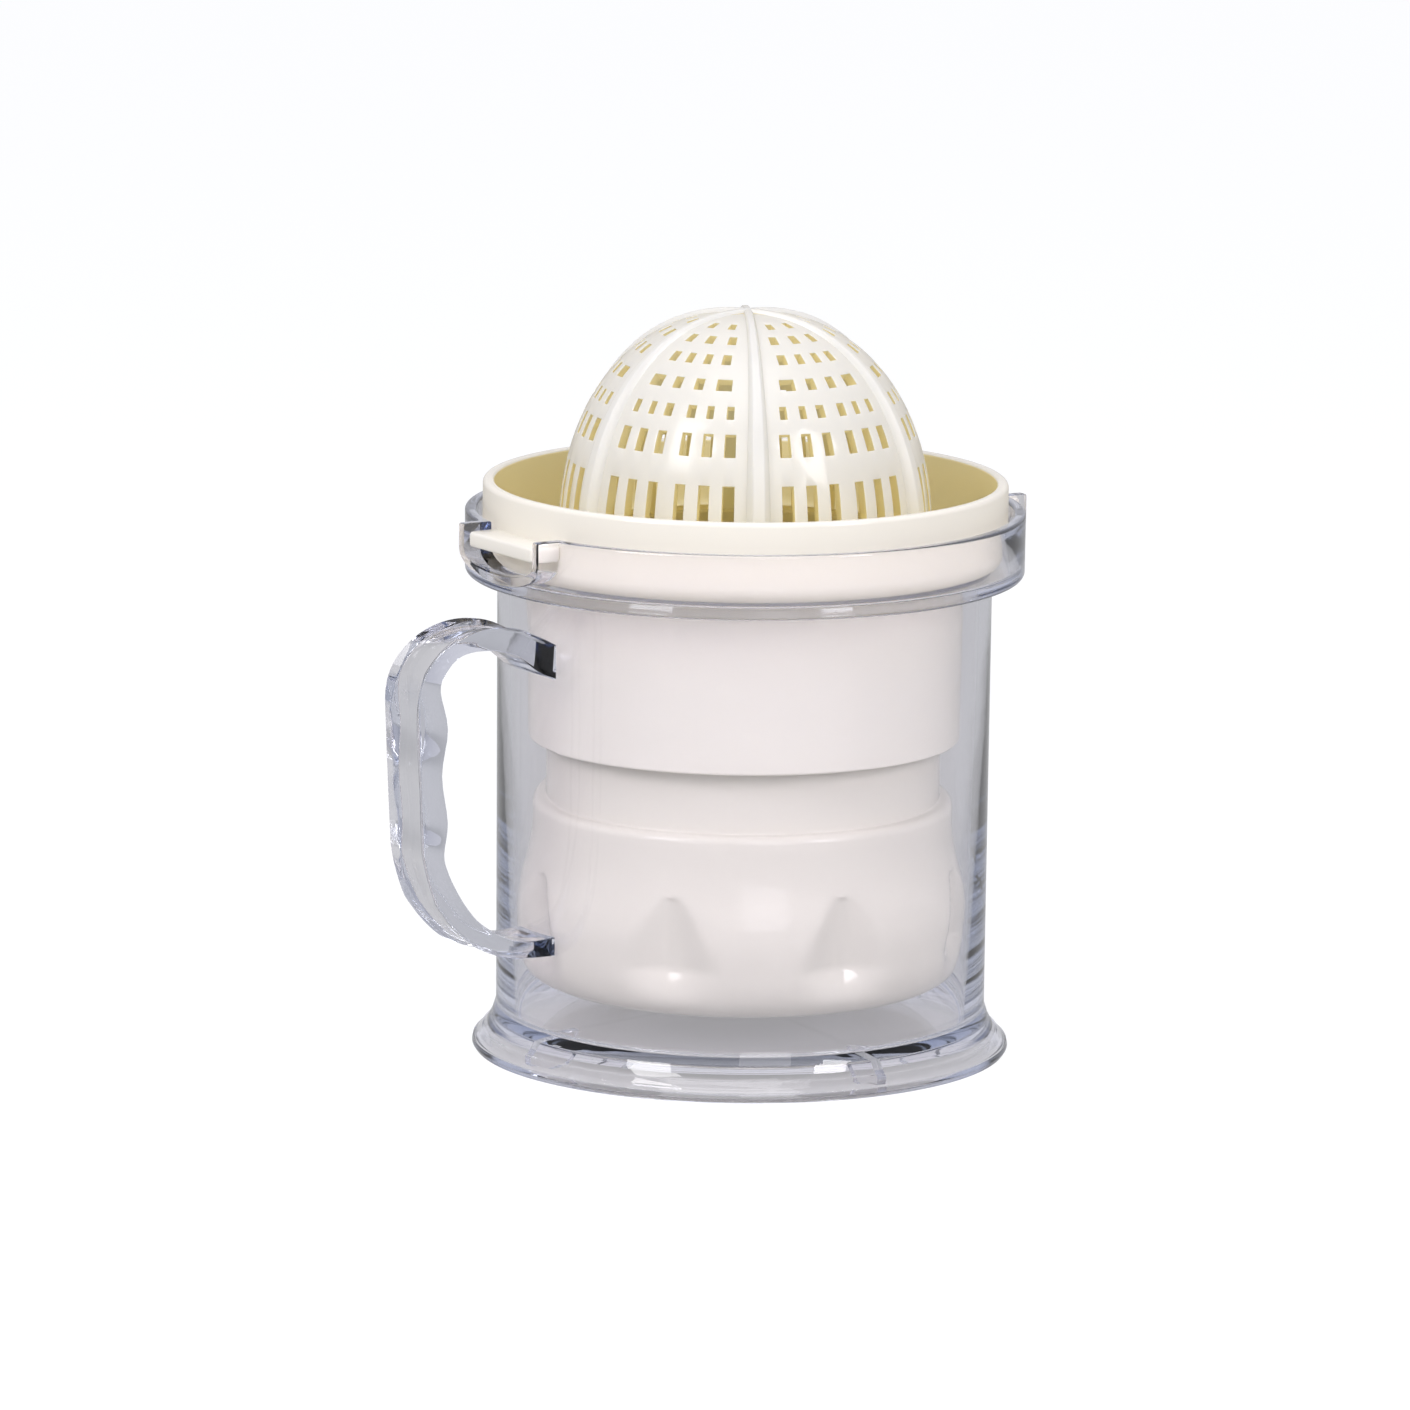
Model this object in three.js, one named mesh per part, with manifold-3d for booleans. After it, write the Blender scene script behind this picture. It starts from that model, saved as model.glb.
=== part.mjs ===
// Hand citrus juicer kept nested in its own measuring mug.
// Millimetres, +Z up, standing on z = 0 with the handle towards -X.

import * as THREE from 'three';
import { mergeVertices } from 'three/addons/utils/BufferGeometryUtils.js';
import Module from 'manifold-3d';

const wasm = await Module();
wasm.setup();

// ---------------------------------------------------------------- driving dimensions

const running = 0.3; // gap left between pieces that touch
const steps = 40; // sides of every turned piece

const mug = {
  outer: 57.4, // body radius under the collar
  bore: 54.6, // inside radius under the collar
  draft: 0.4, // how much smaller both radii are at the floor
  floorTop: 8.4,
  floorUnder: 6.3,
  ledge: 115, // inner step that carries the bowl
  collarOuter: 65,
  collarBore: 62.2,
  collarUnder: 112.3,
  top: 127.3,
};

const foot = { outer: 62.6, innerTop: 55.4, innerBottom: 59.8, ribInner: 45, ribWidth: 2.4 };

const ear = { reach: 68, halfWidth: 17, wall: 2.5, sideBottom: 121.5, troughBottom: 115.2 };

const handle = { width: 15, edge: 1.2 };

const bowl = {
  rimOuter: 60.9,
  rimInner: 58.2,
  rimTop: 134.1,
  gutter: 117.7, // top of the gutter floor
  throat: 38, // juice opening in the middle of the floor
  lipOuter: 40.6, // collar that centres the dome
  lipTop: 120.2,
  skirtOuter: 50.6,
  skirtInner: 48.3,
  skirtBottom: 74,
};

const tab = { reach: 67.6, halfWidth: 14.1, under: 122.2, top: 125.6 };

const grip = { count: 6, radius: 46.7, width: 1.6, bottom: 76, top: 95 };

const dome = {
  sides: 36,
  radius: 43.3,
  base: 118,
  straightTo: 127, // height where the side starts to curve in
  crown: 173.2, // top of the shell
  wall: 2.2,
  panels: 6, // one between each two ribs
  ribCrest: 3, // width of a rib along its crest
  ribRise: 2, // how far a rib stands out of the shell
  apex: 174.2, // where the ribs meet
};

const cap = {
  neckOuter: 46.3,
  neckInner: 44.3,
  neckTop: 98,
  shoulder: 59.1,
  shoulderOuter: 49.4,
  belly: 53.3,
  bottom: 15.8,
  wall: 2.2,
};

// finger hollows: pointed at the top, widest at the foot
const scallop = {
  count: 8,
  turn: 38, // where the first one lies, in degrees from +X
  top: 47,
  topRadius: 50.4,
  foot: 25.5,
  footRadius: 48.3,
  footHalfWidth: 13,
};

const fin = { count: 8, inner: 12, outer: 38, height: 11, width: 2 }; // standing on the cap's floor

// the mug's axis sits off the middle of the footprint, because the handle reaches further than the ear
const handleReach = 93.6;
const axisX = (handleReach - ear.reach) / 2;

// rows of dome slots: heights, then each slot's [offset from mid-panel, width], in degrees
const slotRows = [
  { from: 120.8, to: 139.2, slots: [[4.8, 3.5], [12.7, 3.5], [20.6, 3.9]] },
  { from: 145.5, to: 150.5, slots: [[4.8, 3.5], [12.7, 3.5], [20.6, 3.7]] },
  { from: 153.7, to: 156.4, slots: [[4.5, 3.1], [12, 3.1], [19.8, 3.2]] },
  { from: 159.6, to: 161.9, slots: [[5.2, 3.6], [16.4, 6.8]] },
  { from: 164.8, to: 166.7, slots: [[5.2, 4], [15.2, 5]] },
  { from: 168.6, to: 170, slots: [[0, 5.5], [15.8, 5.5]] },
  { from: 171.2, to: 172, slots: [[11, 7]] },
];

// ---------------------------------------------------------------- colours

const clearPlastic = new THREE.MeshStandardMaterial({
  name: 'clear_plastic', color: 0xc3c8d2, roughness: 0.06, metalness: 0, transparent: true, opacity: 0.35,
});
const ivoryPlastic = new THREE.MeshStandardMaterial({ name: 'ivory_plastic', color: 0xf4efdf, roughness: 0.3 });
const whitePlastic = new THREE.MeshStandardMaterial({ name: 'white_plastic', color: 0xf6f1e8, roughness: 0.3 });

// ---------------------------------------------------------------- solids

// A closed geometry as a solid that can be joined and cut.
function solid(geometry) {
  const bare = geometry.clone();
  bare.deleteAttribute('normal');
  bare.deleteAttribute('uv');
  const merged = mergeVertices(bare, 1e-4);
  return new wasm.Manifold(new wasm.Mesh({
    numProp: 3,
    vertProperties: new Float32Array(merged.attributes.position.array),
    triVerts: new Uint32Array(merged.index.array),
  }));
}

function piece(name, body, material) {
  const out = body.getMesh();
  const geometry = new THREE.BufferGeometry();
  geometry.setAttribute('position', new THREE.BufferAttribute(out.vertProperties.slice(), 3));
  geometry.setIndex(new THREE.BufferAttribute(out.triVerts.slice(), 1));
  geometry.computeVertexNormals();
  const mesh = new THREE.Mesh(geometry, material);
  mesh.name = name;
  mesh.position.x = axisX;
  return mesh;
}

// Turns an outline of [radius, height] points about Z, going anticlockwise round the material.
// An outline that doesn't start on the axis is closed back to its first point.
function turned(outline, sides = steps) {
  const points = outline.map(([r, z]) => new THREE.Vector2(r, z));
  if (points[0].x > 0) points.push(points[0].clone());
  return solid(new THREE.LatheGeometry(points, sides).rotateX(Math.PI / 2));
}

// Points of a rounding about (r, z), from one angle to another, in degrees.
function round(r, z, radius, from, to, count = 4) {
  return Array.from({ length: count + 1 }, (_, i) => {
    const angle = THREE.MathUtils.degToRad(from + ((to - from) * i) / count);
    return [r + radius * Math.cos(angle), z + radius * Math.sin(angle)];
  });
}

function smooth(points, count) {
  const curve = new THREE.SplineCurve(points.map(([x, y]) => new THREE.Vector2(x, y)));
  return curve.getSpacedPoints(count).map((p) => [p.x, p.y]);
}

function cylinder(radius, from, to) {
  const shape = new THREE.CylinderGeometry(radius, radius, to - from, steps).rotateX(Math.PI / 2);
  return solid(shape.translate(0, 0, (from + to) / 2));
}

function box(low, high) {
  const size = high.map((v, i) => v - low[i]);
  const middle = high.map((v, i) => (v + low[i]) / 2);
  return solid(new THREE.BoxGeometry(...size).translate(...middle));
}

// Copies of a solid, turned about Z to each angle in degrees.
function around(body, angles) {
  return wasm.Manifold.union(angles.map((angle) => body.rotate([0, 0, angle])));
}

function evenly(count, first = 0) {
  return Array.from({ length: count }, (_, i) => first + (360 * i) / count);
}

// ---------------------------------------------------------------- mug

// Outside of the mug from the foot to the top of the collar, as one solid block.
function mugBlock() {
  const corner = 6.6;
  return turned([
    [0, 0],
    [foot.outer - 1, 0],
    [foot.outer - 0.2, 0.6],
    [foot.outer, 1.6],
    [foot.outer - 0.5, 2.8],
    [foot.outer - 1.6, 3.4],
    [59.6, 5.2],
    [58.1, 7.4],
    [mug.outer - mug.draft + 0.2, 10.5],
    [mug.outer - mug.draft, 13],
    [mug.outer, mug.collarUnder],
    ...round(mug.collarOuter - corner, mug.collarUnder + corner, corner, -90, 0, 5),
    [mug.collarOuter, mug.top - 0.5],
    [mug.collarOuter - 0.5, mug.top],
    [0, mug.top],
  ]);
}

function mugHollow() {
  const floorCorner = 2.2;
  const shelf = 4.4;
  return turned([
    [0, mug.floorTop],
    ...round(mug.bore - mug.draft - floorCorner, mug.floorTop + floorCorner, floorCorner, -90, 0, 3),
    [mug.bore, mug.ledge - 0.8],
    [mug.bore + 0.8, mug.ledge],
    ...round(mug.collarBore - shelf, mug.ledge + shelf, shelf, -90, 0, 4),
    [mug.collarBore, mug.top + 5],
    [0, mug.top + 5],
  ]);
}

// Open space under the floor, inside the flared foot.
function footHollow() {
  return turned([
    [0, -5],
    [foot.innerBottom, -5],
    [foot.innerBottom, 1],
    [foot.innerTop + 1.6, mug.floorUnder - 1.8],
    [foot.innerTop, mug.floorUnder],
    [0, mug.floorUnder],
  ]);
}

// Three-cornered webs that stiffen the foot under the floor.
function footWeb() {
  const side = new THREE.Shape();
  side.moveTo(foot.ribInner, mug.floorUnder + 0.5);
  side.lineTo(foot.ribInner, mug.floorUnder - 0.4);
  side.lineTo(foot.innerBottom - 1.6, 0.9);
  side.lineTo(foot.innerBottom + 0.8, 0.9);
  side.lineTo(foot.innerTop + 1, mug.floorUnder + 0.5);
  return solid(standing(side, foot.ribWidth));
}

// An outline in the X-Z plane, thickened evenly to both sides of it.
function standing(shape, thickness, bevel = 0) {
  const geometry = new THREE.ExtrudeGeometry(shape, {
    depth: thickness - 2 * bevel,
    bevelEnabled: bevel > 0,
    bevelSize: bevel,
    bevelThickness: bevel,
    bevelOffset: -bevel,
    bevelSegments: 1,
    curveSegments: 1,
  });
  return geometry.translate(0, 0, bevel - thickness / 2).rotateX(Math.PI / 2);
}

// A trough along +X with upright sides and a bowed bottom.
function trough(halfWidth, sideBottom, bottom, top, from, to) {
  const shape = new THREE.Shape();
  shape.moveTo(halfWidth, top);
  shape.lineTo(-halfWidth, top);
  shape.lineTo(-halfWidth, sideBottom);
  for (let i = 1; i < 10; i += 1) {
    const angle = Math.PI * (1 + i / 10);
    shape.lineTo(halfWidth * Math.cos(angle), sideBottom + (sideBottom - bottom) * Math.sin(angle));
  }
  shape.lineTo(halfWidth, sideBottom);
  const geometry = new THREE.ExtrudeGeometry(shape, { depth: to - from, bevelEnabled: false });
  return solid(geometry.rotateX(Math.PI / 2).rotateZ(Math.PI / 2).translate(from, 0, 0));
}

function mugBody() {
  const opposite = [0, 180];
  const ears = trough(ear.halfWidth, ear.sideBottom, ear.troughBottom, mug.top, 52, ear.reach);
  const slots = trough(
    ear.halfWidth - ear.wall, ear.sideBottom, ear.troughBottom + ear.wall - 0.2, mug.top + 2, 55, ear.reach + 2,
  );
  return mugBlock()
    .add(around(ears, opposite))
    .subtract(mugHollow())
    .subtract(around(slots, opposite).subtract(cylinder(mug.collarBore - 2, 100, 140)))
    .subtract(footHollow())
    .add(around(footWeb(), evenly(4)));
}

// Side view of the handle, [distance from the axis, height]: outside downwards, then finger side upwards.
const handleOutside = [
  [54, 99.8], [57.5, 101.8], [62, 104.1], [65.6, 105.7], [70, 106.7], [75, 107], [80, 106.2], [85, 104.2],
  [89.3, 100.9], [92.2, 97], [handleReach, 92], [93.4, 84], [92.9, 73], [92.3, 62], [91.6, 54], [88.8, 45.1],
  [86, 40.8], [82.3, 36.6], [77.5, 32.8], [70.1, 29.8], [63.6, 29], [54, 28.7],
];
const handleInside = [
  [54, 33.4], [63.6, 32.9], [70.1, 34.6], [76.5, 38.4], [80.4, 42.6], [83.4, 47.2], [85.6, 51.6], [86.6, 55.6],
  [85.7, 63], [87.3, 74], [85.8, 84.6], [87.8, 93.4], [86.6, 97.2], [83.6, 100.4], [80, 101.7], [75, 101.8],
  [70.5, 100.9], [66.3, 99.2], [61.5, 95.6], [57.5, 93.6], [54, 93],
];

function mugHandle() {
  const outline = [...smooth(handleOutside, 34), ...smooth(handleInside, 34)];
  const shape = new THREE.Shape(outline.map(([r, z]) => new THREE.Vector2(-r, z)));
  return solid(standing(shape, handle.width, handle.edge)).subtract(cylinder(mug.outer + running, 0, 130));
}

// ---------------------------------------------------------------- strainer bowl

function bowlShell() {
  const shelf = 3.8;
  const under = mug.ledge + running;
  return turned([
    [bowl.throat, under],
    [bowl.skirtInner - 2, under],
    [bowl.skirtInner, under - 2],
    [bowl.skirtInner, bowl.skirtBottom + 0.5],
    [bowl.skirtInner + 0.5, bowl.skirtBottom],
    [bowl.skirtOuter - 0.7, bowl.skirtBottom],
    [bowl.skirtOuter - 0.2, bowl.skirtBottom + 0.6],
    [bowl.skirtOuter + 0.2, under],
    ...round(bowl.rimOuter - shelf, under + shelf, shelf, -90, 0),
    ...round(bowl.rimOuter - 1.2, bowl.rimTop - 1.2, 1.2, 0, 90, 3),
    ...round(bowl.rimInner + 0.8, bowl.rimTop - 0.8, 0.8, 90, 180, 2),
    ...round(bowl.rimInner - 3, bowl.gutter + 3, 3, 0, -90, 3),
    [bowl.lipOuter, bowl.gutter],
    [bowl.lipOuter, bowl.lipTop],
    [bowl.throat, bowl.lipTop],
  ]);
}

function lockTab() {
  const corner = 2;
  const shape = new THREE.Shape();
  const [inner, outer, half] = [bowl.rimInner + 0.8, tab.reach, tab.halfWidth];
  shape.moveTo(inner, -half);
  shape.lineTo(outer - corner, -half);
  shape.absarc(outer - corner, corner - half, corner, -Math.PI / 2, 0, false);
  shape.absarc(outer - corner, half - corner, corner, 0, Math.PI / 2, false);
  shape.lineTo(inner, half);
  const geometry = new THREE.ExtrudeGeometry(shape, {
    depth: tab.top - tab.under, bevelEnabled: false, curveSegments: 4,
  });
  return solid(geometry.translate(0, 0, tab.under));
}

function strainerBowl() {
  const half = grip.width / 2;
  const crush = box([grip.radius, -half, grip.bottom], [bowl.skirtInner + 0.8, half, grip.top]);
  return bowlShell()
    .add(around(lockTab(), [0, 180]))
    .add(around(crush, evenly(grip.count, 30)));
}

// ---------------------------------------------------------------- reamer dome

// Meridian of the dome from the base to the crown, moved in from the outside surface by an inset.
function domeOutline(inset) {
  const bend = [[41.8, 139], [37.8, 150], [31, 160], [22.3, 168], [14.5, 171.8]];
  const curve = smooth([[dome.radius, dome.straightTo], ...bend, [0, dome.crown]], 7);
  const along = [[dome.radius, dome.base], ...curve];
  return along.map(([r, z], i) => {
    const [before, after] = [along[Math.max(i - 1, 0)], along[Math.min(i + 1, along.length - 1)]];
    const [dr, dz] = [after[0] - before[0], after[1] - before[1]];
    const length = Math.hypot(dr, dz);
    const radius = i === along.length - 1 ? 0 : Math.max(r - (inset * dz) / length, 0);
    return [radius, z + (i === 0 ? 0 : (inset * dr) / length)];
  });
}

// One pair of opposite ribs, running over the crown as a single arch.
function ribArch() {
  const half = domeOutline(-dome.ribRise).map(([r, z]) => [r, Math.min(z, dome.apex)]);
  const shape = new THREE.Shape();
  shape.moveTo(half[0][0], dome.base - 10);
  half.forEach(([r, z]) => shape.lineTo(r, z));
  half.slice(0, -1).reverse().forEach(([r, z]) => shape.lineTo(-r, z));
  shape.lineTo(-half[0][0], dome.base - 10);
  return solid(standing(shape, dome.ribCrest + 2 * dome.ribRise, dome.ribRise));
}

// A wedge about the axis that cuts one slot.
function slotCutter(from, to, offset, width) {
  const [near, far] = [6, dome.radius + 4];
  const spread = Math.tan(THREE.MathUtils.degToRad(width / 2));
  const corners = [[near, -near], [far, -far], [far, far], [near, near]];
  const shape = new THREE.Shape(corners.map(([r, y]) => new THREE.Vector2(r, y * spread)));
  const wedge = new THREE.ExtrudeGeometry(shape, { depth: to - from, bevelEnabled: false });
  return solid(wedge.translate(0, 0, from)).rotate([0, 0, offset]);
}

function slotCutters() {
  const cutters = slotRows.flatMap(({ from, to, slots }) => slots.flatMap(([offset, width]) => {
    const sides = offset === 0 ? [0] : [offset, -offset];
    return sides.map((side) => slotCutter(from, to, side, width));
  }));
  return around(wasm.Manifold.union(cutters), evenly(dome.panels, 180 / dome.panels));
}

function reamerDome() {
  const below = dome.base - 1;
  const outside = turned([[0, dome.base], ...domeOutline(0)], dome.sides);
  const well = [[0, below], [dome.radius - dome.wall, below], ...domeOutline(dome.wall).slice(1)];
  const inside = turned(well, dome.sides);
  const ribs = around(ribArch(), [0, 60, 120]).subtract(cylinder(dome.radius + 10, dome.base - 20, dome.base));
  return outside.subtract(slotCutters()).add(ribs.subtract(inside)).subtract(inside);
}

// ---------------------------------------------------------------- press cap

function capOutside() {
  return turned([
    [0, cap.bottom + 1.2],
    [34, cap.bottom + 1.2],
    [36, cap.bottom],
    [43, cap.bottom],
    ...round(43.3, cap.bottom + 9.6, 9.6, -75, -10, 4),
    [cap.belly, 30],
    [cap.belly, 35],
    [52.4, 40],
    [50.7, 45],
    [49.6, 50],
    [cap.shoulderOuter, cap.shoulder - 2.2],
    [cap.shoulderOuter - 0.7, cap.shoulder - 0.6],
    [cap.shoulderOuter - 2.2, cap.shoulder],
    [cap.neckOuter, cap.shoulder + 0.5],
    [cap.neckOuter, cap.neckTop - 0.8],
    [cap.neckOuter - 0.5, cap.neckTop],
    [0, cap.neckTop],
  ]);
}

function capInside() {
  const belly = cap.belly - cap.wall;
  return turned([
    [0, cap.bottom + cap.wall + 1.2],
    [42, cap.bottom + cap.wall + 1.2],
    ...round(43.3, cap.bottom + 9.6, 9.6 - cap.wall, -60, -10, 3),
    [belly, 30],
    [belly, 35],
    [belly - 0.9, 40],
    [belly - 2.6, 45],
    [cap.shoulderOuter - cap.wall, 50],
    [cap.shoulderOuter - cap.wall, cap.shoulder - 3.5],
    [cap.neckInner, cap.shoulder - 0.5],
    [cap.neckInner, cap.neckTop + 1],
    [0, cap.neckTop + 1],
  ]);
}

// Pointed hollows for the fingers: leaning cones, wide at the foot, cut off level above the bottom ring.
function fingerHollows(growth) {
  const overrun = 1.3; // the cone goes on past the foot, where it is cut off
  const height = scallop.top - scallop.foot;
  const out = scallop.footRadius + scallop.footHalfWidth - scallop.topRadius;
  const length = Math.hypot(height, out) * overrun;
  const cone = new THREE.ConeGeometry(scallop.footHalfWidth * overrun, length, 12);
  cone.translate(0, -length / 2, 0).rotateX(Math.PI / 2).rotateY(-Math.atan2(out, height));
  cone.translate(scallop.topRadius - growth, 0, scallop.top + growth);
  const level = box([30, -30, scallop.foot - growth], [90, 30, scallop.top + 10]);
  return around(solid(cone).intersect(level), evenly(scallop.count, scallop.turn));
}

function pressCap() {
  const floor = cap.bottom + cap.wall;
  const fins = box([fin.inner, -fin.width / 2, floor], [fin.outer, fin.width / 2, floor + fin.height]);
  return capOutside()
    .subtract(fingerHollows(0))
    .subtract(capInside().subtract(fingerHollows(cap.wall)))
    .add(around(fins, evenly(fin.count)));
}

// ---------------------------------------------------------------- assembly

const juicer = new THREE.Group();
juicer.add(piece('mug_body', mugBody(), clearPlastic));
juicer.add(piece('mug_handle', mugHandle(), clearPlastic));
juicer.add(piece('strainer_bowl', strainerBowl(), ivoryPlastic));
juicer.add(piece('reamer_dome', reamerDome(), ivoryPlastic));
juicer.add(piece('press_cap', pressCap(), whitePlastic));

export default juicer;
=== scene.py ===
# Hand citrus juicer nested in its clear measuring mug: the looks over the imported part.
import math
import bpy
from mathutils import Matrix, Vector


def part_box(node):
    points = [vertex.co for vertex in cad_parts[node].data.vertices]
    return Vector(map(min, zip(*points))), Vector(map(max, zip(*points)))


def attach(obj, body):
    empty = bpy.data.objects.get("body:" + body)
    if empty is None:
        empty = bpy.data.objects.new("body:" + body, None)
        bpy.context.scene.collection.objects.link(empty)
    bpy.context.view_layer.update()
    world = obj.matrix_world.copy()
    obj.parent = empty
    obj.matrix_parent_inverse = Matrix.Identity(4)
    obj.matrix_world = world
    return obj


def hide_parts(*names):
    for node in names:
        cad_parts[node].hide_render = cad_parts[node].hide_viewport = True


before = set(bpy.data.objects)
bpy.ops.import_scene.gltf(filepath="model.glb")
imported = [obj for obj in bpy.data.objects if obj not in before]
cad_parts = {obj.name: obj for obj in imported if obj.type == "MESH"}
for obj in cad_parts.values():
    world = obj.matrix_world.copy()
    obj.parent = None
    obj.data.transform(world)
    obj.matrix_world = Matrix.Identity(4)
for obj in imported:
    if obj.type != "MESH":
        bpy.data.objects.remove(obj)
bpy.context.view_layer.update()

mm = 0.001
tiny = 0.004 * mm  # points nearer than this are one point
arcStep = 0.3  # radians between points on a rounded corner
capLow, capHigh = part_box("press_cap")
axisX = (capLow[0] + capHigh[0]) / 2  # the mug's own axis, off the middle because of the handle
axis = (axisX, 0, 0)


def start():  # nothing selected, object mode
    if bpy.context.mode != "OBJECT":
        bpy.ops.object.mode_set(mode="OBJECT")
    bpy.ops.object.select_all(action="DESELECT")


def activate(piece):
    start()
    piece.select_set(True)
    bpy.context.view_layer.objects.active = piece


def editAll():
    bpy.ops.object.mode_set(mode="EDIT")
    bpy.ops.mesh.select_all(action="SELECT")


def weld():
    bpy.ops.mesh.select_all(action="SELECT")
    bpy.ops.mesh.remove_doubles(threshold=tiny)
    bpy.ops.mesh.normals_make_consistent(inside=False)
    bpy.ops.object.mode_set(mode="OBJECT")


def drawLine(name, points, closed=False):  # a chain of vertices, left in edit mode
    start()
    bpy.ops.mesh.primitive_plane_add(size=mm, location=(0, 0, 0))
    piece = bpy.context.object
    piece.name = piece.data.name = name
    editAll()
    bpy.ops.mesh.merge(type="CENTER")
    bpy.ops.transform.translate(value=points[0])
    path = list(points) + ([points[0]] if closed else [])
    for before, after in zip(path, path[1:]):
        step = Vector(after) - Vector(before)
        bpy.ops.mesh.extrude_vertices_move(TRANSFORM_OT_translate={"value": step})
    if closed:
        bpy.ops.mesh.select_all(action="SELECT")
        bpy.ops.mesh.remove_doubles(threshold=tiny)
    return piece


def rounded(corners, closed=False):  # each corner is (x, y) or (x, y, radius)
    out = []
    for i, corner in enumerate(corners):
        here = Vector(corner[:2])
        radius = corner[2] if len(corner) > 2 else 0
        ends = not closed and i in (0, len(corners) - 1)
        if radius == 0 or ends:
            out.append(tuple(here))
            continue
        before = (Vector(corners[i - 1][:2]) - here).normalized()
        after = (Vector(corners[(i + 1) % len(corners)][:2]) - here).normalized()
        half = before.angle(after) / 2
        reach = radius / math.tan(half)
        middle = here + (before + after).normalized() * radius / math.sin(half)
        first, last = here + before * reach - middle, here + after * reach - middle
        sweep = first.angle_signed(last)
        count = max(2, int(abs(sweep) / arcStep) + 1)
        for k in range(count + 1):
            turn = -sweep * k / count
            x = first.x * math.cos(turn) - first.y * math.sin(turn)
            y = first.x * math.sin(turn) + first.y * math.cos(turn)
            out.append((middle.x + x, middle.y + y))
    return out


def smoothLine(points, parts):  # a smooth curve through the points
    out = []
    for i in range(len(points) - 1):
        p = [Vector(points[min(max(i + k, 0), len(points) - 1)]) for k in (-1, 0, 1, 2)]
        for k in range(parts):
            t = k / parts
            out.append(tuple(0.5 * (2 * p[1] + (p[2] - p[0]) * t
                + (2 * p[0] - 5 * p[1] + 4 * p[2] - p[3]) * t * t
                + (3 * p[1] - p[0] - 3 * p[2] + p[3]) * t ** 3)))
    return out + [tuple(points[-1])]


def turnProfile(name, profile, steps, closed=False):  # (radius, height) in mm, spun about the axis
    points = [(axisX + r * mm, 0, z * mm) for r, z in profile]
    piece = drawLine(name, points, closed)
    bpy.ops.mesh.select_all(action="SELECT")
    bpy.ops.mesh.spin(steps=steps, angle=2 * math.pi, center=axis, axis=(0, 0, 1))
    weld()
    return piece


def plate(name, points, thickness):  # a closed outline filled and thickened
    piece = drawLine(name, points, True)
    bpy.ops.mesh.select_all(action="SELECT")
    bpy.ops.mesh.edge_face_add()
    bpy.ops.mesh.extrude_region_move(TRANSFORM_OT_translate={"value": thickness})
    weld()
    return piece


def pickFaces(piece, wanted):  # leaves edit mode on, with just those faces selected
    activate(piece)
    editAll()
    bpy.ops.mesh.select_mode(type="FACE")
    bpy.ops.mesh.select_all(action="DESELECT")
    bpy.ops.object.mode_set(mode="OBJECT")
    for face in piece.data.polygons:
        face.select = wanted(face)
    bpy.ops.object.mode_set(mode="EDIT")


def leaveEdit():
    bpy.ops.mesh.select_mode(type="VERT")
    bpy.ops.object.mode_set(mode="OBJECT")


def useModifier(piece, kind, **settings):
    activate(piece)
    tool = piece.modifiers.new(kind.lower(), kind)
    for key, value in settings.items():
        setattr(tool, key, value)
    bpy.ops.object.modifier_apply(modifier=tool.name)


def combine(piece, other, how="UNION"):
    useModifier(piece, "BOOLEAN", object=other, operation=how, solver="EXACT")
    bpy.data.objects.remove(other, do_unlink=True)


def copyTurned(piece, angle):  # a copy with its own mesh, turned about the mug's axis
    activate(piece)
    bpy.ops.object.duplicate()
    twin = bpy.context.object
    c, s = math.cos(angle), math.sin(angle)
    for v in twin.data.vertices:
        x, y = v.co.x - axisX, v.co.y
        v.co.x, v.co.y = axisX + x * c - y * s, x * s + y * c
    return twin


def ring(piece, part, count, first):  # joins equal turned copies of a part to the piece
    for i in range(count):
        combine(piece, copyTurned(part, math.radians(first + 360 / count * i)))
    bpy.data.objects.remove(part, do_unlink=True)


def roundEdges(piece, width, segments, sharper):  # edges sharper than so many degrees
    useModifier(piece, "BEVEL", width=width * mm, segments=segments, limit_method="ANGLE",
                angle_limit=math.radians(sharper))


def radialPlate(name, corners, width):  # an upright plate across the axis, corners (radius, height) in mm
    half = width / 2 * mm
    return plate(name, [(axisX + r * mm, -half, z * mm) for r, z in corners], (0, 2 * half, 0))


def finishPiece(piece, material, body, nodes, angle=32, inside=None, paintedShadeMaterial=None):
    activate(piece)
    bpy.ops.object.shade_smooth_by_angle(angle=math.radians(angle))
    piece.data.materials.clear()
    piece.data.materials.append(material)
    if inside:  # the faces turned away from the lamps get a second material with painted shade, a deeper golden copy of the same plastic
        piece.data.materials.append(paintedShadeMaterial)
        for face in piece.data.polygons:
            face.material_index = 1 if inside(face) else 0
    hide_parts(*nodes)
    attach(piece, body)
    print("made", piece.name, len(piece.data.polygons), "faces")


# materials

flowScale, grainScale = 38, 2600  # waves and grains in a metre


def addNode(tree, kind, place, **inputs):
    node = tree.nodes.new(kind)
    node.location = place
    for key, value in inputs.items():
        node.inputs[key.replace("_", " ")].default_value = value
    return node


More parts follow.
